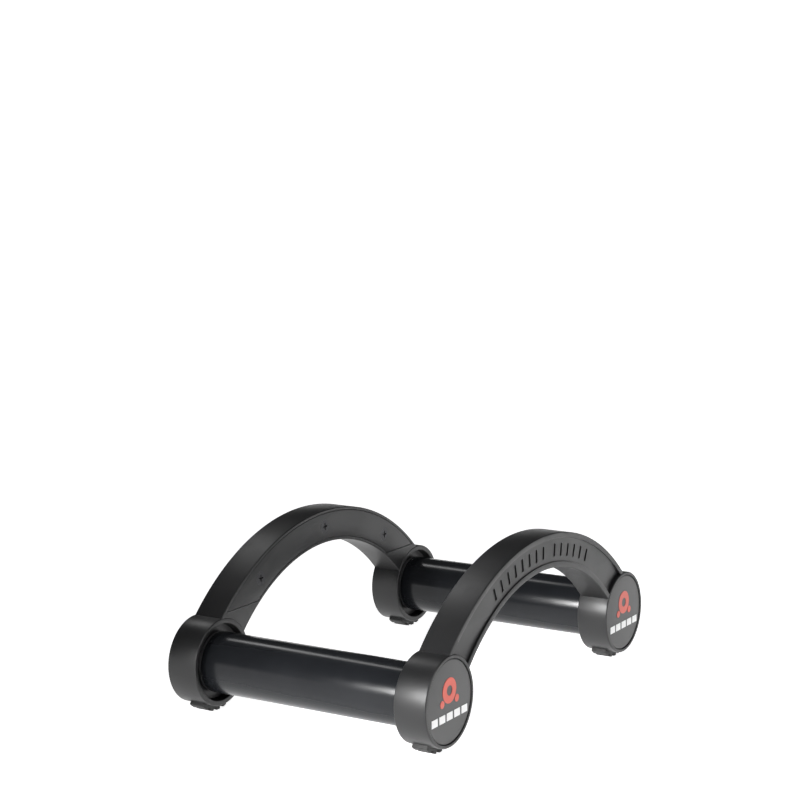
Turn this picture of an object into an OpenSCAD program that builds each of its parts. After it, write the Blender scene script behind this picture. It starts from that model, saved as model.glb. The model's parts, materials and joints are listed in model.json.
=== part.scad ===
// Spool holder stand: two arched side frames, tied by two axles that each carry a free-running roller.
// X runs from the left roller to the right one, Y along the rollers (front is -Y), Z is up.
// The origin is on the table, under the middle of the stand.

/* [Stand] */
// Distance between the two roller axes
axle_spacing = 121.2; // [114:0.2:130]
// Width over the hub faces, along the rollers
stand_width = 97.6; // [92:0.2:120]
// Height of the roller axes above the table
axle_height = 16.4; // [16.2:0.1:17]
// Depth of each side frame, along the rollers
frame_depth = 11.3; // [11.3:0.1:13.5]

/* [Arch] */
// Radius of the arch's outer edge
arch_out_r = 85.8; // [84:0.2:88]
// Top of the arch above the roller axes
arch_rise = 39.3; // [38:0.1:42]
// Radius of the arch's inner edge
arch_in_r = 67.5; // [65:0.1:69]
// Top of the arch's inner edge above the roller axes
arch_in_rise = 27.7; // [25:0.1:28.5]
// Width of the raised border on both edges of the face
border_w = 1.9; // [1:0.1:3]
// Depth of the sunk panel between the borders
panel_depth = 0.5; // [0.2:0.1:1]
// Depth of the panel where it meets the hub barrels
panel_end_depth = 1.5; // [1:0.1:2]
// Height above the roller axes where the panel starts to slope down to that depth
ramp_rise = 21; // [18:0.5:25]

/* [Hub] */
// Radius of the hub barrels
hub_r = 14.4; // [14.2:0.1:14.8]
// Width of the rim around the hub cap
hub_lip = 1.15; // [0.9:0.05:1.5]
// Radius of the cup that the roller's end turns in
cup_r = 12.6; // [12:0.1:13]
// Depth of that cup
cup_depth = 3.3; // [2.8:0.1:3.4]
// Thickness of the web that the axle is clamped to
web_t = 2.2; // [1.8:0.1:2.4]

/* [Rollers] */
// Outer radius of the roller tubes
roller_r = 10; // [9.8:0.1:11]
// Wall of the roller tubes
roller_wall = 1; // [0.8:0.1:1.2]

/* [Axles] */
// Radius of the axles
axle_r = 2.5; // [2:0.1:2.6]
// Outer radius of the distance tubes and spacers
sleeve_r = 4; // [3.6:0.1:4]

/* [Bearings] */
// Outer radius of the ball bearings
bearing_r = 8; // [7.8:0.1:8.2]
// Width of the ball bearings
bearing_w = 5; // [4.6:0.1:5]
// Number of balls in each bearing
ball_count = 7; // [5:1:8]
// Radius of a ball
ball_r = 1.36; // [1.2:0.02:1.36]

/* [Feet] */
// Width of the feet, along the rollers
foot_w = 5.5; // [5:0.1:7]
// Half the angle that a foot wraps around its hub
foot_half_angle = 31; // [29:1:40]
// Angle from one tread bar to the next
tread_pitch = 12; // [11:0.5:13]

/* [Hidden] */
$fn = 96;
eps = 0.01;
slack = 0.02;          // radial clearance between pieces that are put together by hand
front = -1;
rear = 1;
left = -1;
right = 1;

frame_black = [0.11, 0.11, 0.115];
cap_grey = [0.17, 0.17, 0.175];
roller_black = [0.07, 0.075, 0.08];
rubber_black = [0.05, 0.05, 0.05];
emblem_red = [0.76, 0.3, 0.23];
dash_white = [0.93, 0.93, 0.93];
steel = [0.72, 0.73, 0.75];
brass = [0.78, 0.62, 0.3];

// Distances from the middle of the stand, outwards along Y
hub_face = stand_width / 2;
frame_back = hub_face - frame_depth;
cup_floor = frame_back + cup_depth;
web_face = cup_floor + web_t;
washer_t = 1;
nut_t = 2.7;
nut_start = web_face + washer_t;
axle_end = nut_start + nut_t + 0.2;
cap_seat = axle_end + 0.15;
cap_sink = 0.25;       // the cap's face lies this far below the hub's rim
cap_t = hub_face - cap_sink - cap_seat;
bearing_out = cup_floor - 1.8;
bearing_in = bearing_out - bearing_w;
tube_end = bearing_out - 0.2;
bearing_mid = (bearing_in + bearing_out) / 2;

// Side frame
hub_x = axle_spacing / 2;
arch_out_z = axle_height + arch_rise - arch_out_r;
arch_in_z = axle_height + arch_in_rise - arch_in_r;
arch_mid_z = (arch_out_z + arch_in_z) / 2;
arch_mid_r = (arch_out_r + arch_in_r) / 2;
arch_face = hub_face - 0.2;
arch_back = frame_back + 0.15;
ramp_end_z = axle_height + hub_r - 1.5;
shell_wall = 2;
cavity_z = axle_height + hub_r + 2.4;
cover_t = 1.6;
cover_rebate = 1;
cover_gap = 0.1;
boss_r = 3;
boss_angles = [-30, 0, 30];
tick_pitch = 3.55;
tick_angles = concat([for (i = [0 : 7]) -24.2 + tick_pitch * i], [for (i = [0 : 5]) 6.5 + tick_pitch * i]);
tick_w = 1.3;
tick_h = 4.4;
tick_depth = 0.4;

// Cap, nut and washer
cap_r = hub_r - hub_lip - 0.1;
pocket_r = 8.05;
spigot_wall = 1.1;
spigot_len = 2.6;
nut_r = 4.62;
washer_r = 5;
mark_t = 0.12;

// Cover screws
screw_r = 1.1;
screw_len = 8;
screw_head_r = 2.4;
screw_head_t = 1.3;

// Bearings
race_pitch = 5.25;
groove_r = ball_r + 0.05;
inner_shoulder = 4.2;
outer_shoulder = 6.3;
shield_seat = 6.8;
shield_t = 0.25;
cage_half_t = 0.35;
cage_low = -0.9;        // the balls snap in from this side
cage_high = 1.85;

// Feet
foot_sink = 0.6;
foot_start = frame_back + 2.3;
foot_flat = 0.15;      // the lowest bar is cut flat by this much
foot_drop = 5;         // the tread bars end on a circle whose middle lies this far below the axis
foot_r = axle_height + foot_flat - foot_drop;
tread_h = 1;
groove_w = 1.5;
grooves = 2;           // on each side of the lowest tread bar

// A solid along Y from y0 to y1, whose outline is drawn in X and Z
module slab(y0, y1) {
    translate([0, y1, 0]) rotate([90, 0, 0]) linear_extrude(y1 - y0) children();
}

// A round bar along Y
module rod(r, y0, y1) {
    translate([0, y0, 0]) rotate([-90, 0, 0]) cylinder(r = r, h = y1 - y0);
}

// A round tube along Y
module ring(r_out, r_in, y0, y1) {
    difference() {
        rod(r_out, y0, y1);
        rod(r_in, y0 - 1, y1 + 1);
    }
}

// A cone along Y
module cone(r0, r1, y0, y1) {
    translate([0, y0, 0]) rotate([-90, 0, 0]) cylinder(r1 = r0, r2 = r1, h = y1 - y0);
}

// Children are drawn on the rear side, with +Y outwards, and mirrored for the front
module on_side(side) {
    mirror([0, side < 0 ? 1 : 0, 0]) children();
}

// Moves children to the axis of the left or the right hub
module at_hub(hand) {
    translate([hand * hub_x, 0, axle_height]) children();
}

// A point on the arch's middle line, with the local Y axis pointing outwards
module on_arch(angle) {
    translate([0, arch_mid_z]) rotate(-angle) translate([0, arch_mid_r]) children();
}

// Outline of the arch, drawn in X and Z, down to a given height
module arch_outline(inset = 0, floor_z = axle_height) {
    intersection() {
        difference() {
            translate([0, arch_out_z]) circle(r = arch_out_r - inset, $fn = 180);
            translate([0, arch_in_z]) circle(r = arch_in_r + inset, $fn = 180);
        }
        translate([-hub_x - hub_r, floor_z]) square([2 * (hub_x + hub_r), 2 * arch_rise]);
    }
}

// Everything that lies deeper than the sunk panel's floor by a given wall
module behind_panel(wall = 0) {
    top_z = axle_height + arch_rise + 1;
    floor_y = arch_face - panel_depth - wall;
    end_y = arch_face - panel_end_depth - wall;
    translate([-hub_x - hub_r, 0, 0]) rotate([90, 0, 90]) linear_extrude(2 * (hub_x + hub_r))
        polygon([
            [0, 0], [end_y, 0], [end_y, ramp_end_z],
            [floor_y, axle_height + ramp_rise], [floor_y, top_z], [0, top_z]
        ]);
}

// Sector under a hub's axis, where the foot sits: out to a circle, and in to the foot's seat
module foot_sector(r_out, drop = 0) {
    reach = 3 * hub_r;
    intersection() {
        difference() {
            translate([0, -drop]) circle(r = r_out);
            circle(r = hub_r - foot_sink);
        }
        polygon([
            [0, 0], reach * [-sin(foot_half_angle), -cos(foot_half_angle)],
            reach * [sin(foot_half_angle), -cos(foot_half_angle)]
        ]);
    }
}

module side_frame(side) {
    color(frame_black) on_side(side) difference() {
        union() {
            difference() {
                slab(arch_back, arch_face) arch_outline();
                difference() {
                    slab(arch_face - 5, arch_face + 1) arch_outline(border_w);
                    behind_panel();
                }
                difference() {
                    intersection() {
                        slab(frame_back - 1, arch_face) arch_outline(shell_wall, cavity_z);
                        behind_panel(shell_wall);
                    }
                    for (a = boss_angles)
                        slab(frame_back - 2, arch_face) on_arch(a) circle(r = boss_r);
                }
                slab(frame_back - 1, arch_back + cover_t) arch_outline(cover_rebate, cavity_z - cover_rebate);
                for (a = tick_angles)
                    slab(arch_face - panel_depth - tick_depth, arch_face + 1)
                        on_arch(a) square([tick_w, tick_h], center = true);
                for (a = boss_angles)
                    slab(frame_back, frame_back + screw_len + 1) on_arch(a) circle(r = screw_r + slack);
            }
            for (hand = [left, right])
                at_hub(hand) rod(hub_r, frame_back, hub_face);
        }
        for (hand = [left, right])
            at_hub(hand) {
                rod(cup_r, frame_back - 1, cup_floor);
                rod(axle_r + 0.1, cup_floor - 1, web_face + 1);
                rod(pocket_r, web_face, hub_face + 1);
                rod(cap_r + 0.1, cap_seat, hub_face + 1);
                slab(foot_start, foot_start + foot_w) foot_sector(hub_r + 1);
            }
    }
}

module inner_cover(side) {
    color(frame_black) on_side(side) difference() {
        slab(arch_back, arch_back + cover_t - slack)
            arch_outline(cover_rebate + cover_gap, cavity_z - cover_rebate + cover_gap);
        for (a = boss_angles)
            translate([arch_mid_r * sin(a), 0, arch_mid_z + arch_mid_r * cos(a)]) {
                rod(screw_r + 0.1, frame_back - 1, arch_back + cover_t + 1);
                cone(screw_head_r + slack, screw_r + slack, arch_back, arch_back + screw_head_t);
            }
    }
}

module cover_screws(side) {
    color(steel) on_side(side) for (a = boss_angles)
        translate([arch_mid_r * sin(a), 0, arch_mid_z + arch_mid_r * cos(a)]) difference() {
            union() {
                cone(screw_head_r, screw_r, arch_back, arch_back + screw_head_t);
                rod(screw_r, arch_back + screw_head_t - eps, arch_back + screw_len);
            }
            for (turn = [0, 90])
                rotate([0, turn, 0]) translate([-1.3, arch_back - 1, -0.25]) cube([2.6, 1.7, 0.5]);
        }
}

module hub_cap(side, hand) {
    color(cap_grey) on_side(side) at_hub(hand) {
        rod(cap_r, cap_seat, cap_seat + cap_t - 0.3);
        cone(cap_r, cap_r - 0.3, cap_seat + cap_t - 0.3, cap_seat + cap_t);
        ring(pocket_r - slack, pocket_r - spigot_wall, cap_seat - spigot_len, cap_seat + eps);
    }
}

// A spool on its two rollers, as a plain pictogram
module cap_emblems() {
    spool_z = 3.6;
    roller_at = [4.3, 0.15];
    color(emblem_red) for (side = [front, rear], hand = [left, right])
        on_side(side) at_hub(hand) slab(cap_seat + cap_t, cap_seat + cap_t + mark_t) {
            translate([0, spool_z]) difference() {
                circle(r = 4);
                circle(r = 1.6);
            }
            for (s = [-1, 1])
                translate([s * roller_at[0], roller_at[1]]) circle(r = 1.2);
        }
}

module cap_dashes() {
    dash = [3.4, 2.4];
    pitch = 4.4;
    color(dash_white) for (side = [front, rear], hand = [left, right])
        on_side(side) at_hub(hand) slab(cap_seat + cap_t, cap_seat + cap_t + mark_t)
            for (i = [-2 : 2])
                translate([i * pitch, -4.5]) square(dash, center = true);
}

module foot(side, hand) {
    color(rubber_black) on_side(side) at_hub(hand) slab(foot_start, foot_start + foot_w) difference() {
        foot_sector(foot_r, foot_drop);
        for (i = [0.5 - grooves : grooves - 0.5])
            rotate(i * tread_pitch) translate([0, -axle_height]) square([groove_w, 2 * tread_h], center = true);
        translate([-hub_r, -axle_height - 1]) square([2 * hub_r, 1]);
    }
}

module axle(hand) {
    chamfer = 0.4;
    shank_end = axle_end - chamfer;
    color(steel) at_hub(hand) {
        rod(axle_r, -shank_end, shank_end);
        for (side = [front, rear])
            on_side(side) cone(axle_r, axle_r - chamfer, shank_end, axle_end);
    }
}

module distance_tube(hand) {
    color(steel) at_hub(hand) ring(sleeve_r, axle_r + 0.1, -bearing_in, bearing_in);
}

module axle_nuts() {
    color(steel) for (side = [front, rear], hand = [left, right])
        on_side(side) at_hub(hand) difference() {
            translate([0, nut_start, 0]) rotate([-90, 0, 0]) cylinder(r = nut_r, h = nut_t, $fn = 6);
            rod(axle_r + slack, nut_start - 1, nut_start + nut_t + 1);
        }
}

module axle_washers() {
    color(steel) for (side = [front, rear], hand = [left, right])
        on_side(side) at_hub(hand) ring(washer_r, axle_r + 0.15, web_face, nut_start);
}

module bearing_spacers() {
    color(brass) for (side = [front, rear], hand = [left, right])
        on_side(side) at_hub(hand) ring(sleeve_r, axle_r + 0.1, bearing_out, cup_floor);
}

module roller_tube(hand) {
    color(roller_black) at_hub(hand) ring(roller_r, roller_r - roller_wall, -tube_end, tube_end);
}

module end_plug(side, hand) {
    seat_r = roller_r - roller_wall;
    color(frame_black) on_side(side) at_hub(hand) difference() {
        union() {
            rod(seat_r, bearing_in - 1.5, tube_end + eps);
            rod(roller_r - 0.1, tube_end, tube_end + 0.8);
        }
        rod(bearing_r, bearing_in, tube_end + 2);
        rod(outer_shoulder, bearing_in - 3, bearing_in + 1);
    }
}

// A bearing's parts are drawn about its own middle and moved to their hub
module at_bearing(side, hand) {
    on_side(side) at_hub(hand) translate([0, bearing_mid, 0]) rotate([-90, 0, 0]) children();
}

module inner_race(side, hand) {
    color(steel) at_bearing(side, hand) rotate_extrude() difference() {
        translate([axle_r + slack, -bearing_w / 2]) square([inner_shoulder - axle_r - slack, bearing_w]);
        translate([race_pitch, 0]) circle(r = groove_r, $fn = 48);
    }
}

module outer_race(side, hand) {
    color(steel) at_bearing(side, hand) rotate_extrude() difference() {
        translate([outer_shoulder, -bearing_w / 2]) square([bearing_r - outer_shoulder, bearing_w]);
        translate([race_pitch, 0]) circle(r = groove_r, $fn = 48);
        for (s = [-1, 1])
            translate([outer_shoulder - 1, s * (bearing_w / 2 - 0.3) - 0.3])
                square([shield_seat - outer_shoulder + 1, 0.6]);
    }
}

module shields(side, hand) {
    color(steel) at_bearing(side, hand) for (s = [-1, 1])
        translate([0, 0, s * (bearing_w / 2 - 0.3) - 0.3 + (0.6 - shield_t) / 2]) difference() {
            cylinder(r = shield_seat, h = shield_t);
            translate([0, 0, -1]) cylinder(r = inner_shoulder + 0.2, h = 2);
        }
}

module ball_cage(side, hand) {
    color(brass) at_bearing(side, hand) difference() {
        rotate_extrude() translate([race_pitch - cage_half_t, cage_low])
            square([2 * cage_half_t, cage_high - cage_low]);
        for (i = [0 : ball_count - 1])
            rotate(i * 360 / ball_count) translate([race_pitch, 0, 0]) sphere(r = groove_r, $fn = 32);
    }
}

module balls(side, hand) {
    color(steel) at_bearing(side, hand) for (i = [0 : ball_count - 1])
        rotate(i * 360 / ball_count) translate([race_pitch, 0, 0]) sphere(r = ball_r, $fn = 32);
}

side_frame(front);  // front_side_frame
side_frame(rear);  // rear_side_frame
inner_cover(front);  // front_inner_cover
inner_cover(rear);  // rear_inner_cover
cover_screws(front);  // front_cover_screws
cover_screws(rear);  // rear_cover_screws
hub_cap(front, left);  // front_left_cap
hub_cap(front, right);  // front_right_cap
hub_cap(rear, left);  // rear_left_cap
hub_cap(rear, right);  // rear_right_cap
cap_emblems();
cap_dashes();
foot(front, left);  // front_left_foot
foot(front, right);  // front_right_foot
foot(rear, left);  // rear_left_foot
foot(rear, right);  // rear_right_foot
axle(left);  // left_axle
axle(right);  // right_axle
distance_tube(left);  // left_distance_tube
distance_tube(right);  // right_distance_tube
axle_nuts();
axle_washers();
bearing_spacers();
roller_tube(left);  // left_roller_tube
roller_tube(right);  // right_roller_tube
end_plug(front, left);  // front_left_end_plug
end_plug(front, right);  // front_right_end_plug
end_plug(rear, left);  // rear_left_end_plug
end_plug(rear, right);  // rear_right_end_plug
inner_race(front, left);  // front_left_inner_race
inner_race(front, right);  // front_right_inner_race
inner_race(rear, left);  // rear_left_inner_race
inner_race(rear, right);  // rear_right_inner_race
outer_race(front, left);  // front_left_outer_race
outer_race(front, right);  // front_right_outer_race
outer_race(rear, left);  // rear_left_outer_race
outer_race(rear, right);  // rear_right_outer_race
shields(front, left);  // front_left_shields
shields(front, right);  // front_right_shields
shields(rear, left);  // rear_left_shields
shields(rear, right);  // rear_right_shields
ball_cage(front, left);  // front_left_ball_cage
ball_cage(front, right);  // front_right_ball_cage
ball_cage(rear, left);  // rear_left_ball_cage
ball_cage(rear, right);  // rear_right_ball_cage
balls(front, left);  // front_left_balls
balls(front, right);  // front_right_balls
balls(rear, left);  // rear_left_balls
balls(rear, right);  // rear_right_balls
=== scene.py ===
"""The looks of the spool holder stand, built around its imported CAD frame.

Lengths are written in millimetres and multiplied by MM where they meet Blender, which works in metres.
Shapes of a side are drawn on the rear (+Y outwards) and mirrored to the front.
"""

import json
import math

import bmesh
import bpy
from mathutils import Matrix, Vector


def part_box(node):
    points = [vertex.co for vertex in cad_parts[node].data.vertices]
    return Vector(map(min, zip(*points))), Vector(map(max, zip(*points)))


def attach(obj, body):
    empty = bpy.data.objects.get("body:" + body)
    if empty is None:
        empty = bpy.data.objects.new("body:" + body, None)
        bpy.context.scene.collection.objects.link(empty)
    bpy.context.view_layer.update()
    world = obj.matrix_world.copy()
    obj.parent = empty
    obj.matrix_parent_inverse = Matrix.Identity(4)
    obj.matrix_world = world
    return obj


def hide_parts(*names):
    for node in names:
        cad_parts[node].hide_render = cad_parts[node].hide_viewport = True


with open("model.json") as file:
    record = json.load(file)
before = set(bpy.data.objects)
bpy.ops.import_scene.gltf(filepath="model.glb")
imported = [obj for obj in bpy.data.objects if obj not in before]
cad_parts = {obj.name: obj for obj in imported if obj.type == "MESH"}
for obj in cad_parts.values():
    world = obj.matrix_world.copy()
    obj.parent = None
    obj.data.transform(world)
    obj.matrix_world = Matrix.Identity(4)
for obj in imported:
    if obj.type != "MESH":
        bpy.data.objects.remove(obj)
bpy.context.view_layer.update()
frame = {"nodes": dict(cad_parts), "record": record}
MM = 0.001
HANDS = {"left": -1, "right": 1}


# ---------------------------------------------------------------- dimensions


def box_mm(node):
    lo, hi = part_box(node)
    return lo / MM, hi / MM


FRAME_LO, FRAME_HI = box_mm("rear_side_frame")
AXLE_LO, AXLE_HI = box_mm("right_axle")
CAP_LO, CAP_HI = box_mm("rear_right_cap")
FOOT_LO, FOOT_HI = box_mm("rear_right_foot")
TUBE_LO, TUBE_HI = box_mm("right_roller_tube")
COVER_LO, COVER_HI = box_mm("rear_inner_cover")

HUB_X = (AXLE_LO.x + AXLE_HI.x) / 2
AXLE_Z = (AXLE_LO.z + AXLE_HI.z) / 2
HUB_R = FRAME_HI.x - HUB_X
BACK_Y = FRAME_LO.y
FACE_Y = FRAME_HI.y
CAP_R = (CAP_HI.x - CAP_LO.x) / 2
CAP_FACE_Y = CAP_HI.y
CAP_SEAT_Y = AXLE_HI.y + 0.15  # the cap clears the axle's end
TUBE_R = (TUBE_HI.x - TUBE_LO.x) / 2
TUBE_WALL = 1.0
SEAM = 0.1  # gap around a piece that lies in a recess
TOUCH_GAP = 0.02  # gap between faces that meet

ARCH_OUT_R = 85.8
ARCH_IN_R = 67.5
ARCH_IN_RISE = 27.7  # top of the arch's inner edge above the roller axes
ARCH_OUT_Z = FRAME_HI.z - ARCH_OUT_R
ARCH_IN_Z = AXLE_Z + ARCH_IN_RISE - ARCH_IN_R
ARCH_MID_Z = (ARCH_OUT_Z + ARCH_IN_Z) / 2
ARCH_MID_R = (ARCH_OUT_R + ARCH_IN_R) / 2
ARCH_FACE_Y = FACE_Y - 0.2
ARCH_BACK_Y = COVER_LO.y
ARCH_END = 56.0  # degrees from the crown to the hubs
BORDER_OUT_W = 1.8
BORDER_IN_W = 2.0
PANEL_DEPTH = 0.5
PANEL_END_DEPTH = 1.5
PANEL_OVERRUN = 1.2  # how far the panel runs on under a barrel's skin
RAMP_Z = AXLE_Z + 21.0
RAMP_END_Z = AXLE_Z + HUB_R - 1.5
BARREL_OVERLAP = 0.4  # how far the arch's ends run into a barrel's wall
CUP_R = 12.6
CUP_FLOOR_Y = BACK_Y + 3.3
WEB_FACE_Y = CUP_FLOOR_Y + 2.2
POCKET_R = 8.05
AXLE_HOLE_R = 2.6
SPIGOT_WALL = 1.1
WALL = 2.0  # around the hollow back
REBATE = 1.0  # the step that the cover plate lies in
CAVITY_Z = AXLE_Z + HUB_R + 2.4  # lowest point of the hollow back
COVER_T = COVER_HI.y - COVER_LO.y
TICK_ROWS = ((-24.2, 8), (6.5, 6))  # each row's first angle from the crown, and its count
TICK_PITCH = 3.55  # degrees
TICK_ANGLES = [first + TICK_PITCH * i for first, count in TICK_ROWS for i in range(count)]
TICK_SIZE = (1.3, 4.4)
TICK_DEPTH = 0.4
SCREW_ANGLES = (-30, 0, 30)  # degrees from the crown
SCREW_HOLE_R = 1.15
SCREW_SINK_R = 2.45
SCREW_SINK_T = 1.3
FOOT_SINK = 0.6
FOOT_HALF_ANGLE = 31.0  # degrees to each side that a foot wraps around its hub
FOOT_FLAT = 0.15  # the lowest tread bar is cut flat by this much
FOOT_DROP = 5.0  # the tread lies on a circle whose middle is this far below the axle
TREAD_PITCH = 12.0  # degrees
TREAD_GROOVE = 5.2  # degrees
TREAD_H = 1.0


# ---------------------------------------------------------------- mesh tools


def new_object(name, verts, faces):
    """A mesh object from points in millimetres, with its normals pointing outwards."""
    mesh = bpy.data.meshes.new(name)
    mesh.from_pydata([Vector(v) * MM for v in verts], [], faces)
    build = bmesh.new()
    build.from_mesh(mesh)
    bmesh.ops.recalc_face_normals(build, faces=build.faces)
    build.to_mesh(mesh)
    build.free()
    obj = bpy.data.objects.new(name, mesh)
    bpy.context.scene.collection.objects.link(obj)
    return obj


def arc(centre, radius, start, end, steps):
    """Points on an arc, with angles in degrees counted from +X."""
    points = []
    for k in range(steps + 1):
        a = math.radians(start + (end - start) * k / steps)
        points.append((centre[0] + radius * math.cos(a), centre[1] + radius * math.sin(a)))
    return points


def rounded(corners, steps=4):
    """A closed outline through corners (x, y, radius), each turned into an arc of its radius."""
    outline = []
    for i, (x, y, radius) in enumerate(corners):
        here = Vector((x, y))
        if radius <= 0:
            outline.append((x, y))
            continue
        before = (Vector(corners[i - 1][:2]) - here).normalized()
        after = (Vector(corners[(i + 1) % len(corners)][:2]) - here).normalized()
        half = before.angle(after) / 2
        centre = here + (before + after).normalized() * radius / math.sin(half)
        start = here + before * radius / math.tan(half) - centre
        end = here + after * radius / math.tan(half) - centre
        a0 = math.atan2(start.y, start.x)
        turn = (math.atan2(end.y, end.x) - a0 + math.pi) % (2 * math.pi) - math.pi
        for k in range(steps + 1):
            a = a0 + turn * k / steps
            outline.append((centre.x + radius * math.cos(a), centre.y + radius * math.sin(a)))
    return outline


def lathe(name, outline, x, z, segments=128):
    """Turns a closed outline of (radius, y) points about the line through x, z along Y."""
    verts, rings = [], []
    for radius, y in outline:
        count = 1 if radius < 1e-6 else segments
        rings.append(list(range(len(verts), len(verts) + count)))
        for k in range(count):
            a = 2 * math.pi * k / segments
            verts.append((x + radius * math.cos(a), y, z + radius * math.sin(a)))
    faces = []
    for i, ring in enumerate(rings):
        after = rings[(i + 1) % len(rings)]
        for k in range(segments):
            n = (k + 1) % segments
            if len(ring) > 1 and len(after) > 1:
                faces.append((ring[k], ring[n], after[n], after[k]))
            elif len(after) > 1:
                faces.append((ring[0], after[n], after[k]))
            elif len(ring) > 1:
                faces.append((ring[k], ring[n], after[0]))
    return new_object(name, verts, faces)


def slab(name, outline, y0, y1, edge=0.0):
    """Extrudes a closed outline of (x, z) points from y0 to y1, with an optional rounded edge."""
    n = len(outline)
    verts = [(x, y0, z) for x, z in outline] + [(x, y1, z) for x, z in outline]
    sides = [(i, (i + 1) % n, n + (i + 1) % n, n + i) for i in range(n)]
    obj = new_object(name, verts, [tuple(range(n)), tuple(range(n, 2 * n))] + sides)
    if edge:
        bevel = obj.modifiers.new("edge", "BEVEL")
        bevel.width = edge * MM
        bevel.segments = 3
        bevel.limit_method = "ANGLE"
        bevel.angle_limit = math.radians(40)
        apply_modifiers(obj)
    return obj


def loft(name, rows):
    """Joins equal rows of points into a solid bar with flat ends."""
    verts = [point for row in rows for point in row]
    n = len(rows[0])
    faces = []
    for r in range(len(rows) - 1):
        for k in range(n):
            a, b = r * n + k, r * n + (k + 1) % n
            faces.append((a, b, b + n, a + n))
    faces.append(tuple(range(n)))
    faces.append(tuple(range(len(verts) - n, len(verts))))
    return new_object(name, verts, faces)


def apply_modifiers(obj):
    """Replaces an object's mesh with what its modifiers make of it."""
    graph = bpy.context.evaluated_depsgraph_get()
    mesh = bpy.data.meshes.new_from_object(obj.evaluated_get(graph))
    old = obj.data
    obj.modifiers.clear()
    obj.data = mesh
    bpy.data.meshes.remove(old)


def combine(obj, others, operation):
    """Adds the other solids to obj or cuts them from it, and removes them."""
    for other in others:
        step = obj.modifiers.new("step", "BOOLEAN")
        step.operation = operation
        step.solver = "EXACT"
        step.object = other
        apply_modifiers(obj)
        bpy.data.objects.remove(other)
    return obj


def join(name, objects):
    """Joins separate solids into one object, without changing them."""
    build = bmesh.new()
    for obj in objects:
        build.from_mesh(obj.data)
        bpy.data.objects.remove(obj)
    mesh = bpy.data.meshes.new(name)
    build.to_mesh(mesh)
    build.free()
    joined = bpy.data.objects.new(name, mesh)
    bpy.context.scene.collection.objects.link(joined)
    return joined


def mirrored(obj, name):
    """A copy of obj on the front side."""
    copy = obj.copy()
    copy.data = obj.data.copy()
    copy.name = copy.data.name = name
    copy.data.transform(Matrix.Scale(-1, 4, (0, 1, 0)))
    copy.data.flip_normals()
    bpy.context.scene.collection.objects.link(copy)
    return copy


def smooth(obj, angle=32):
    """Smooth shading that keeps the edges sharper than angle, in degrees."""
    obj.data.shade_smooth()
    obj.data.set_sharp_from_angle(angle=math.radians(angle))


# ---------------------------------------------------------------- side frames


def panel_drop(z, across):
    """How much deeper the panel lies at a height: it slopes down to the hubs, most at its outer edge."""
    share = min(max((RAMP_Z - z) / (RAMP_Z - RAMP_END_Z), 0.0), 1.0)
    return (PANEL_END_DEPTH - PANEL_DEPTH) * share * (0.4 + 0.6 * across)


def edge_point(angle, radius, centre_z):
    """Where the ray at an angle from the crown, out of the arch's middle, meets one of its edges."""
    ray = Vector((math.sin(math.radians(angle)), math.cos(math.radians(angle))))
    start = ARCH_MID_Z - centre_z
    reach = -start * ray.y + math.sqrt(radius**2 - (start * ray.x) ** 2)
    return Vector((0, ARCH_MID_Z)) + ray * reach


def arch_body():
    """The arch as a sweep of its rounded section from hub to hub."""
    edge, stations = 0.35, 224
    rows = []
    for s in range(stations + 1):
        angle = -ARCH_END + 2 * ARCH_END * s / stations
        inner = edge_point(angle, ARCH_IN_R, ARCH_IN_Z)
        outer = edge_point(angle, ARCH_OUT_R, ARCH_OUT_Z)
        width = (outer - inner).length
        depth = ARCH_FACE_Y - ARCH_BACK_Y
        section = rounded([(0, 0, edge), (width, 0, edge), (width, depth, edge), (0, depth, edge)], 5)
        row = []
        for t, sunk in section:
            point = inner + (outer - inner) * (t / width)
            row.append((point.x, ARCH_FACE_Y - sunk, point.y))
        rows.append(row)
    return loft("arch", rows)


def circle_meet(c0, r0, c1, r1, side):
    """One of the two points where two circles meet; side picks it."""
    gap = Vector(c1) - Vector(c0)
    d = gap.length
    along = (r0**2 - r1**2 + d**2) / (2 * d)
    off = math.sqrt(r0**2 - along**2)
    unit = gap / d
    return Vector(c0) + unit * along + Vector((-unit.y, unit.x)) * off * side


def angle_of(point, centre):
    return math.degrees(math.atan2(point[1] - centre[1], point[0] - centre[0]))


def panel_grid(inset, sunk, across=16, along=200):
    """Rows of points over the sunk panel, from inside the left barrel to inside the right one."""
    out_c, in_c = (0, ARCH_OUT_Z), (0, ARCH_IN_Z)
    out_r, in_r = ARCH_OUT_R - BORDER_OUT_W - inset, ARCH_IN_R + BORDER_IN_W + inset
    end_r = HUB_R - PANEL_OVERRUN
    hub = (HUB_X, AXLE_Z)
    top = circle_meet(hub, end_r, out_c, out_r, -1)
    low = circle_meet(hub, end_r, in_c, in_r, -1)
    end = arc(hub, end_r, angle_of(low, hub), angle_of(top, hub), across)
    out_a, in_a = 90 - angle_of(top, out_c), 90 - angle_of(low, in_c)
    rows = [[(-x, z) for x, z in end]]
    for k in range(1, along):
        share = 2 * k / along - 1
        outer = Vector(arc(out_c, out_r, 90 - out_a * share, 90, 1)[0])
        inner = Vector(arc(in_c, in_r, 90 - in_a * share, 90, 1)[0])
        rows.append([tuple(inner.lerp(outer, j / across)) for j in range(across + 1)])
    rows.append(end)
    floor = max(sunk, 0.0) / PANEL_DEPTH
    return [[(x, ARCH_FACE_Y - sunk - panel_drop(z, j / across) * floor, z) for j, (x, z) in enumerate(row)]
            for row in rows]


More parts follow.
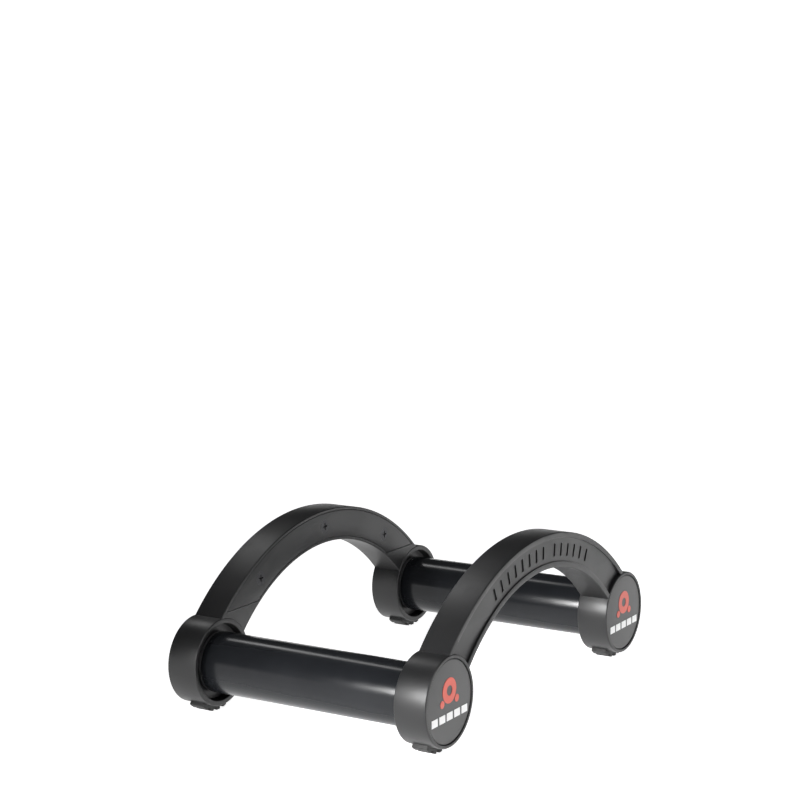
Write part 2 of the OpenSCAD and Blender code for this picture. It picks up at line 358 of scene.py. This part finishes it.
def panel_cutter():
    """The solid that sinks the arch's panel, with a rounded lip and a rounded foot to its wall.

    Each level is how far the wall stands in from the panel's outline, and how deep it is there.
    """
    levels = [(-0.9, -1.2), (-0.22, -0.02), (-0.06, 0.04), (0.0, 0.16)]
    levels += [(0.02, PANEL_DEPTH - 0.15), (0.07, PANEL_DEPTH - 0.04), (0.2, PANEL_DEPTH)]
    grids = [panel_grid(inset, sunk) for inset, sunk in levels]
    rows, cols = len(grids[0]), len(grids[0][0])
    rim = [(0, j) for j in range(cols)] + [(i, cols - 1) for i in range(1, rows)]
    rim += [(rows - 1, j) for j in range(cols - 2, -1, -1)] + [(i, 0) for i in range(rows - 2, 0, -1)]
    verts, faces = [], []
    index = []
    for level, grid in enumerate(grids):
        lookup = {}
        whole = level in (0, len(grids) - 1)
        for i, row in enumerate(grid):
            for j, point in enumerate(row):
                if whole or (i, j) in rim:
                    lookup[(i, j)] = len(verts)
                    verts.append(point)
        index.append(lookup)
    for lookup in (index[0], index[-1]):
        for i in range(rows - 1):
            for j in range(cols - 1):
                corners = ((i, j), (i, j + 1), (i + 1, j + 1), (i + 1, j))
                faces.append([lookup[corner] for corner in corners])
    for upper, lower in zip(index, index[1:]):
        for k, spot in enumerate(rim):
            after = rim[(k + 1) % len(rim)]
            faces.append((upper[spot], upper[after], lower[after], lower[spot]))
    return new_object("panel_cutter", verts, faces)


def band_outline(inset, floor_z, steps=120):
    """The arch's outline in X and Z, inset all round and cut off level at the bottom."""
    out_r, in_r = ARCH_OUT_R - inset, ARCH_IN_R + inset
    out_a = math.degrees(math.asin((floor_z - ARCH_OUT_Z) / out_r))
    in_a = math.degrees(math.asin((floor_z - ARCH_IN_Z) / in_r))
    outer = arc((0, ARCH_OUT_Z), out_r, out_a, 180 - out_a, steps)
    return outer + arc((0, ARCH_IN_Z), in_r, 180 - in_a, in_a, steps)


def arch_spot(angle):
    """A point on the arch's middle line, in X and Z."""
    a = math.radians(angle)
    return ARCH_MID_R * math.sin(a), ARCH_MID_Z + ARCH_MID_R * math.cos(a)


def tick_cutters():
    """Rounded slots along the panel."""
    cutters = []
    w, h = TICK_SIZE[0] / 2, TICK_SIZE[1] / 2
    shape = rounded([(-w, -h, 0.5), (w, -h, 0.5), (w, h, 0.5), (-w, h, 0.5)], 4)
    for angle in TICK_ANGLES:
        cx, cz = arch_spot(angle)
        turn = Matrix.Rotation(math.radians(-angle), 2)
        outline = [tuple(Vector((cx, cz)) + turn @ Vector(p)) for p in shape]
        cutters.append(slab("tick", outline, ARCH_FACE_Y - PANEL_DEPTH - TICK_DEPTH, FACE_Y + 1))
    return join("tick_cutters", cutters)


def hub_barrel(hand):
    """One hub: barrel, cap seat, nut pocket, web and the cup around the roller's end."""
    outline = rounded([
        (CUP_R, BACK_Y, 0.4), (HUB_R, BACK_Y, 0.35), (HUB_R, FACE_Y, 0.4), (CAP_R + SEAM, FACE_Y, 0.25),
        (CAP_R + SEAM, CAP_SEAT_Y, 0.1), (POCKET_R, CAP_SEAT_Y, 0.1), (POCKET_R, WEB_FACE_Y, 0.2),
        (AXLE_HOLE_R, WEB_FACE_Y, 0.1), (AXLE_HOLE_R, CUP_FLOOR_Y, 0.1), (CUP_R, CUP_FLOOR_Y, 0.5),
    ], 5)
    return lathe("barrel", outline, hand * HUB_X, AXLE_Z, 160)


def seat_outline(hand):
    """The part of a barrel's skin that its foot sits in."""
    start, end = 270 - FOOT_HALF_ANGLE, 270 + FOOT_HALF_ANGLE
    hub = (hand * HUB_X, AXLE_Z)
    return arc(hub, HUB_R + 1, start, end, 40) + arc(hub, HUB_R - FOOT_SINK, end, start, 40)


def side_frame():
    """A whole side frame: arch, two hubs, sunk panel with its marks, hollow back and foot seats."""
    body = arch_body()
    core_r = HUB_R - BARREL_OVERLAP
    core = [(0, BACK_Y - 2), (core_r, BACK_Y - 2), (core_r, FACE_Y + 2), (0, FACE_Y + 2)]
    cores = [lathe("core", core, hand * HUB_X, AXLE_Z, 160) for hand in HANDS.values()]
    cavity = slab("cavity", band_outline(WALL, CAVITY_Z), BACK_Y - 1, ARCH_FACE_Y - PANEL_DEPTH - WALL)
    rebate_y = ARCH_BACK_Y + COVER_T + TOUCH_GAP
    rebate = slab("rebate", band_outline(REBATE, CAVITY_Z - REBATE), BACK_Y - 1.5, rebate_y)
    combine(body, cores + [panel_cutter(), tick_cutters(), cavity, rebate], "DIFFERENCE")
    combine(body, [hub_barrel(hand) for hand in HANDS.values()], "UNION")
    seats = [slab("seat", seat_outline(hand), FOOT_LO.y, FOOT_HI.y) for hand in HANDS.values()]
    combine(body, seats, "DIFFERENCE")
    smooth(body)
    return body


# ---------------------------------------------------------------- other pieces


def inner_cover():
    """The plate that closes a frame's hollow back, with its screws' countersinks."""
    outline = band_outline(REBATE + SEAM, CAVITY_Z - REBATE + SEAM)
    plate = slab("cover", outline, COVER_LO.y, COVER_HI.y, edge=0.25)
    sinks = []
    for angle in SCREW_ANGLES:
        x, z = arch_spot(angle)
        outline = [(0, BACK_Y - 1), (SCREW_SINK_R, BACK_Y - 1), (SCREW_SINK_R, COVER_LO.y)]
        outline += [(SCREW_HOLE_R, COVER_LO.y + SCREW_SINK_T), (SCREW_HOLE_R, COVER_HI.y + 1)]
        outline.append((0, COVER_HI.y + 1))
        sinks.append(lathe("sink", outline, x, z, 48))
    combine(plate, sinks, "DIFFERENCE")
    smooth(plate)
    return plate


def hub_cap(hand):
    """A pressed-in cap with a rounded edge and the spigot that holds it."""
    spigot_in, spigot_out, spigot_y = POCKET_R - SPIGOT_WALL, POCKET_R - TOUCH_GAP, CAP_LO.y
    outline = rounded([
        (0, CAP_FACE_Y, 0), (CAP_R, CAP_FACE_Y, 0.4), (CAP_R, CAP_SEAT_Y, 0.1),
        (spigot_out, CAP_SEAT_Y, 0.1), (spigot_out, spigot_y, 0.25),
        (spigot_in, spigot_y, 0.25), (spigot_in, CAP_SEAT_Y, 0.1), (0, CAP_SEAT_Y, 0),
    ], 5)
    cap = lathe("cap", outline, hand * HUB_X, AXLE_Z, 160)
    smooth(cap)
    return cap


def tread_r(angle):
    """How far a foot reaches out of its hub's axis: its tread lies on a smaller circle, set lower."""
    swing = math.radians(angle - 270)
    reach = AXLE_Z + FOOT_FLAT - FOOT_DROP
    return FOOT_DROP * math.cos(swing) + math.sqrt(reach**2 - (FOOT_DROP * math.sin(swing)) ** 2)


def foot(hand):
    """A ribbed rubber foot, with its lowest rib flat on the table."""
    root_r = AXLE_Z - TREAD_H
    seat_r = HUB_R - FOOT_SINK
    first, last = 270 - FOOT_HALF_ANGLE, 270 + FOOT_HALF_ANGLE
    middles = [270 + (i + 0.5) * TREAD_PITCH for i in range(-2, 2)]
    starts = [first] + [middle + TREAD_GROOVE / 2 for middle in middles]
    ends = [middle - TREAD_GROOVE / 2 for middle in middles] + [last]
    corners = [(seat_r, first, 0.05)]
    for start, end in zip(starts, ends):
        corners.append((tread_r(start), start, 0.3))
        for k in (1, 2, 3):
            angle = start + (end - start) * k / 4
            corners.append((tread_r(angle), angle, 0))
        corners.append((tread_r(end), end, 0.3))
        if end != last:
            corners += [(root_r, end, 0.2), (root_r, end + TREAD_GROOVE, 0.2)]
    corners.append((seat_r, last, 0.05))
    corners += [(seat_r, last + (first - last) * k / 24, 0) for k in range(1, 24)]
    flat = []
    for radius, angle, turn in corners:
        a = math.radians(angle)
        flat.append((radius * math.cos(a), max(radius * math.sin(a), -AXLE_Z), turn))
    outline = [(x + hand * HUB_X, z + AXLE_Z) for x, z in rounded(flat, 4)]
    piece = slab("foot", outline, FOOT_LO.y, FOOT_HI.y, edge=0.25)
    smooth(piece, 40)
    return piece


def roller_tube(hand):
    """The smooth tube that the load rolls on."""
    inner = TUBE_R - TUBE_WALL
    outline = rounded([(inner, TUBE_LO.y, 0.15), (TUBE_R, TUBE_LO.y, 0.3), (TUBE_R, TUBE_HI.y, 0.3),
                       (inner, TUBE_HI.y, 0.15)], 4)
    tube = lathe("tube", outline, hand * HUB_X, AXLE_Z, 160)
    smooth(tube)
    return tube


# ---------------------------------------------------------------- materials


def node_of(tree, kind, **values):
    """Adds a shader node; values set its properties, or its inputs where the name is an input's."""
    made = tree.nodes.new(kind)
    for key, value in values.items():
        if hasattr(made, key):
            setattr(made, key, value)
        else:
            made.inputs[key.replace("_", " ")].default_value = value
    return made


def surface(name, colour, rough, spread=0.06, metallic=0.0, grain=2600, depth=0.012, streak=(1, 1, 1),
            shade=0.12, wear=0.25, specular=0.5):
    """A procedural finish: shade and gloss that vary over the surface, a fine grain, and worn edges.

    Grain is the fine noise's scale and depth its height in millimetres; streak stretches it along an
    axis. Spread and shade are how far gloss and colour vary; wear is how strongly raised edges lighten.
    """
    noise_low, noise_high = 0.3, 0.7
    edge_low, edge_high = 0.52, 0.62
    patch_scale = 55.0
    worn_gain, worn_lift = 1.8, 0.02
    mat = bpy.data.materials.new(name)
    mat.use_nodes = True
    tree = mat.node_tree
    link = tree.links.new
    shader = tree.nodes["Principled BSDF"]
    shader.inputs["Metallic"].default_value = metallic
    shader.inputs["Specular IOR Level"].default_value = specular
    place = node_of(tree, "ShaderNodeTexCoord")
    stretch = node_of(tree, "ShaderNodeMapping", Scale=streak)
    link(place.outputs["Object"], stretch.inputs["Vector"])
    broad = node_of(tree, "ShaderNodeTexNoise", Scale=patch_scale, Detail=5.0, Roughness=0.6)
    link(place.outputs["Object"], broad.inputs["Vector"])
    fine = node_of(tree, "ShaderNodeTexNoise", Scale=grain, Detail=3.0, Roughness=0.55)
    link(stretch.outputs["Vector"], fine.inputs["Vector"])
    gloss = node_of(tree, "ShaderNodeMapRange")
    gloss.inputs["From Min"].default_value = noise_low
    gloss.inputs["From Max"].default_value = noise_high
    gloss.inputs["To Min"].default_value = rough - spread
    gloss.inputs["To Max"].default_value = rough + spread
    link(broad.outputs["Fac"], gloss.inputs["Value"])
    link(gloss.outputs["Result"], shader.inputs["Roughness"])
    tones = node_of(tree, "ShaderNodeValToRGB")
    tones.color_ramp.elements[0].position = noise_low
    tones.color_ramp.elements[1].position = noise_high
    tones.color_ramp.elements[0].color = [c * (1 - shade) for c in colour] + [1]
    tones.color_ramp.elements[1].color = [min(c * (1 + shade), 1) for c in colour] + [1]
    link(broad.outputs["Fac"], tones.inputs["Fac"])
    edges = node_of(tree, "ShaderNodeNewGeometry")
    rub = node_of(tree, "ShaderNodeMapRange")
    rub.inputs["From Min"].default_value = edge_low
    rub.inputs["From Max"].default_value = edge_high
    rub.inputs["To Max"].default_value = wear
    link(edges.outputs["Pointiness"], rub.inputs["Value"])
    worn = node_of(tree, "ShaderNodeMix", data_type="RGBA")
    link(rub.outputs["Result"], worn.inputs["Factor"])
    link(tones.outputs["Color"], worn.inputs["A"])
    worn.inputs["B"].default_value = [min(c * worn_gain + worn_lift, 1) for c in colour] + [1]
    link(worn.outputs["Result"], shader.inputs["Base Color"])
    bump = node_of(tree, "ShaderNodeBump", Strength=0.5, Distance=depth * MM)
    link(fine.outputs["Fac"], bump.inputs["Height"])
    link(bump.outputs["Normal"], shader.inputs["Normal"])
    return mat


FINISHES = {
    "frame_black": surface("frame_black", (0.010, 0.010, 0.0105), 0.40),
    "cap_grey": surface("cap_grey", (0.040, 0.040, 0.0405), 0.38),
    "print_red": surface("print_red", (0.55, 0.075, 0.045), 0.35, wear=0.0, depth=0.004),
    "print_white": surface("print_white", (0.75, 0.75, 0.75), 0.38, shade=0.03, wear=0.0, depth=0.004),
    "foot_rubber": surface("foot_rubber", (0.012, 0.012, 0.012), 0.62, grain=1800, depth=0.03, wear=0.4),
    "roller_black": surface("roller_black", (0.012, 0.013, 0.015), 0.20, 0.03, grain=1500, depth=0.003,
                            streak=(1, 0.04, 1), wear=0.1, specular=0.27),
    "plug_black": surface("plug_black", (0.035, 0.035, 0.037), 0.5),
    "screw_black": surface("screw_black", (0.045, 0.045, 0.048), 0.42, metallic=0.8, grain=1800,
                           depth=0.006),
    "zinc_steel": surface("zinc_steel", (0.62, 0.63, 0.65), 0.30, metallic=1.0, grain=1800, depth=0.006),
    "axle_steel": surface("axle_steel", (0.55, 0.56, 0.58), 0.25, metallic=1.0, streak=(1, 0.03, 1)),
    "bearing_steel": surface("bearing_steel", (0.70, 0.71, 0.73), 0.14, 0.03, metallic=1.0, depth=0.002),
    "shield_steel": surface("shield_steel", (0.60, 0.61, 0.62), 0.28, metallic=1.0, depth=0.004),
    "cage_brass": surface("cage_brass", (0.70, 0.52, 0.24), 0.3, metallic=1.0, depth=0.004),
    "spacer_brass": surface("spacer_brass", (0.72, 0.55, 0.26), 0.24, metallic=1.0, depth=0.004),
}


def dress(obj, slot):
    obj.data.materials.clear()
    obj.data.materials.append(FINISHES[slot])
    return obj


def stand_for(obj, node, body, slot, name):
    """Names a piece, gives it its finish, and puts it in place of a CAD node."""
    obj.name = obj.data.name = name
    dress(obj, slot)
    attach(obj, body)
    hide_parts(node)


def both_sides(obj, what, slot, hand=None):
    """Places a piece on the rear and its mirror image on the front."""
    where = f"{hand}_{what}" if hand else what
    for side, piece in (("front", mirrored(obj, "front_" + where)), ("rear", obj)):
        stand_for(piece, f"{side}_{where}", "stand", slot, f"{side}_{where}_piece")


for part in frame["record"]["subparts"]:
    dress(frame["nodes"][part["node"]], part["material_slot"])


# ---------------------------------------------------------------- camera, stage and lights


def make_camera():
    """The camera of the product view: low, from the front left."""
    azimuth, elevation, roll = 57.85, 8.62, -0.69
    distance = 649.7
    target = Vector((-7.96, 0, 82.6 + AXLE_Z)) * MM
    a, e = math.radians(azimuth), math.radians(elevation)
    back = Vector((-math.sin(a) * math.cos(e), -math.cos(a) * math.cos(e), math.sin(e)))
    data = bpy.data.cameras.new("camera")
    data.sensor_width = 36.0
    data.lens = 87.9
    data.shift_x = -0.0032
    data.shift_y = -0.0021
    camera = bpy.data.objects.new("camera", data)
    bpy.context.scene.collection.objects.link(camera)
    camera.rotation_mode = "QUATERNION"
    facing = (-back).to_track_quat("-Z", "Y")
    camera.rotation_quaternion = facing @ Matrix.Rotation(math.radians(roll), 4, "Z").to_quaternion()
    camera.location = target + back * distance * MM
    bpy.context.scene.camera = camera


def make_stage():
    """A pale glowing floor that curves up into a low wall all round."""
    radius, bend, top = 3500, 400, 520
    brightness = 0.95
    outline = [(0.0, 0.0), (600.0, 0.0), (radius, 0.0)]
    outline += arc((radius, bend), bend, -90, 0, 12)[1:] + [(radius + bend, top)]
    segments = 96
    verts = [(0, 0, 0)]
    for distance, z in outline[1:]:
        for k in range(segments):
            a = 2 * math.pi * k / segments
            verts.append((distance * math.cos(a), distance * math.sin(a), z))
    faces = [(0, 1 + k, 1 + (k + 1) % segments) for k in range(segments)]
    for r in range(len(outline) - 2):
        for k in range(segments):
            a, b = 1 + r * segments + k, 1 + r * segments + (k + 1) % segments
            faces.append((a, b, b + segments, a + segments))
    floor = new_object("studio_floor", verts, faces)
    floor.data.shade_smooth()
    paper = surface("studio_paper", (0.80, 0.80, 0.80), 0.8, shade=0.01, wear=0.0, depth=0.0, specular=0.1)
    shader = paper.node_tree.nodes["Principled BSDF"]
    shader.inputs["Emission Color"].default_value = (1, 1, 1, 1)
    shader.inputs["Emission Strength"].default_value = brightness
    floor.data.materials.append(paper)


def area_light(name, place, towards, size, power, spread=180):
    """A soft box at a place, turned to face a point; spread narrows its beam, in degrees."""
    data = bpy.data.lights.new(name, "AREA")
    data.shape = "RECTANGLE"
    data.size, data.size_y = size[0] * MM, size[1] * MM
    data.energy = power
    data.spread = math.radians(spread)
    light = bpy.data.objects.new(name, data)
    bpy.context.scene.collection.objects.link(light)
    light.location = Vector(place) * MM
    light.rotation_mode = "QUATERNION"
    light.rotation_quaternion = (Vector(place) - Vector(towards)).to_track_quat("Z", "Y")


def light_stage():
    """A narrow box on the nearest hub, a strip above and a wide box in front, in a dim room."""
    near_hub = (-HUB_X, -FACE_Y, AXLE_Z)
    middle = (0, 0, AXLE_Z)
    area_light("side_box", (-607, 110, 224), near_hub, (88, 380), 0.27, 22)
    area_light("top_strip", (300, 560, 900), middle, (120, 600), 1.1)
    area_light("front_box", (-130, -740, 460), middle, (420, 260), 2.75)
    world = bpy.data.worlds.new("studio")
    world.use_nodes = True
    world.node_tree.nodes["Background"].inputs["Color"].default_value = (0.95, 0.97, 1.0, 1)
    world.node_tree.nodes["Background"].inputs["Strength"].default_value = 0.05
    bpy.context.scene.world = world
    bpy.context.scene.view_settings.view_transform = "Standard"


# ---------------------------------------------------------------- the scene

make_camera()
make_stage()
light_stage()
both_sides(side_frame(), "side_frame", "frame_black")
both_sides(inner_cover(), "inner_cover", "frame_black")
for hand_name, hand_sign in HANDS.items():
    both_sides(hub_cap(hand_sign), "cap", "cap_grey", hand_name)
    both_sides(foot(hand_sign), "foot", "foot_rubber", hand_name)
    stand_for(roller_tube(hand_sign), f"{hand_name}_roller_tube", f"{hand_name}_roller", "roller_black",
              f"{hand_name}_roller_tube_piece")
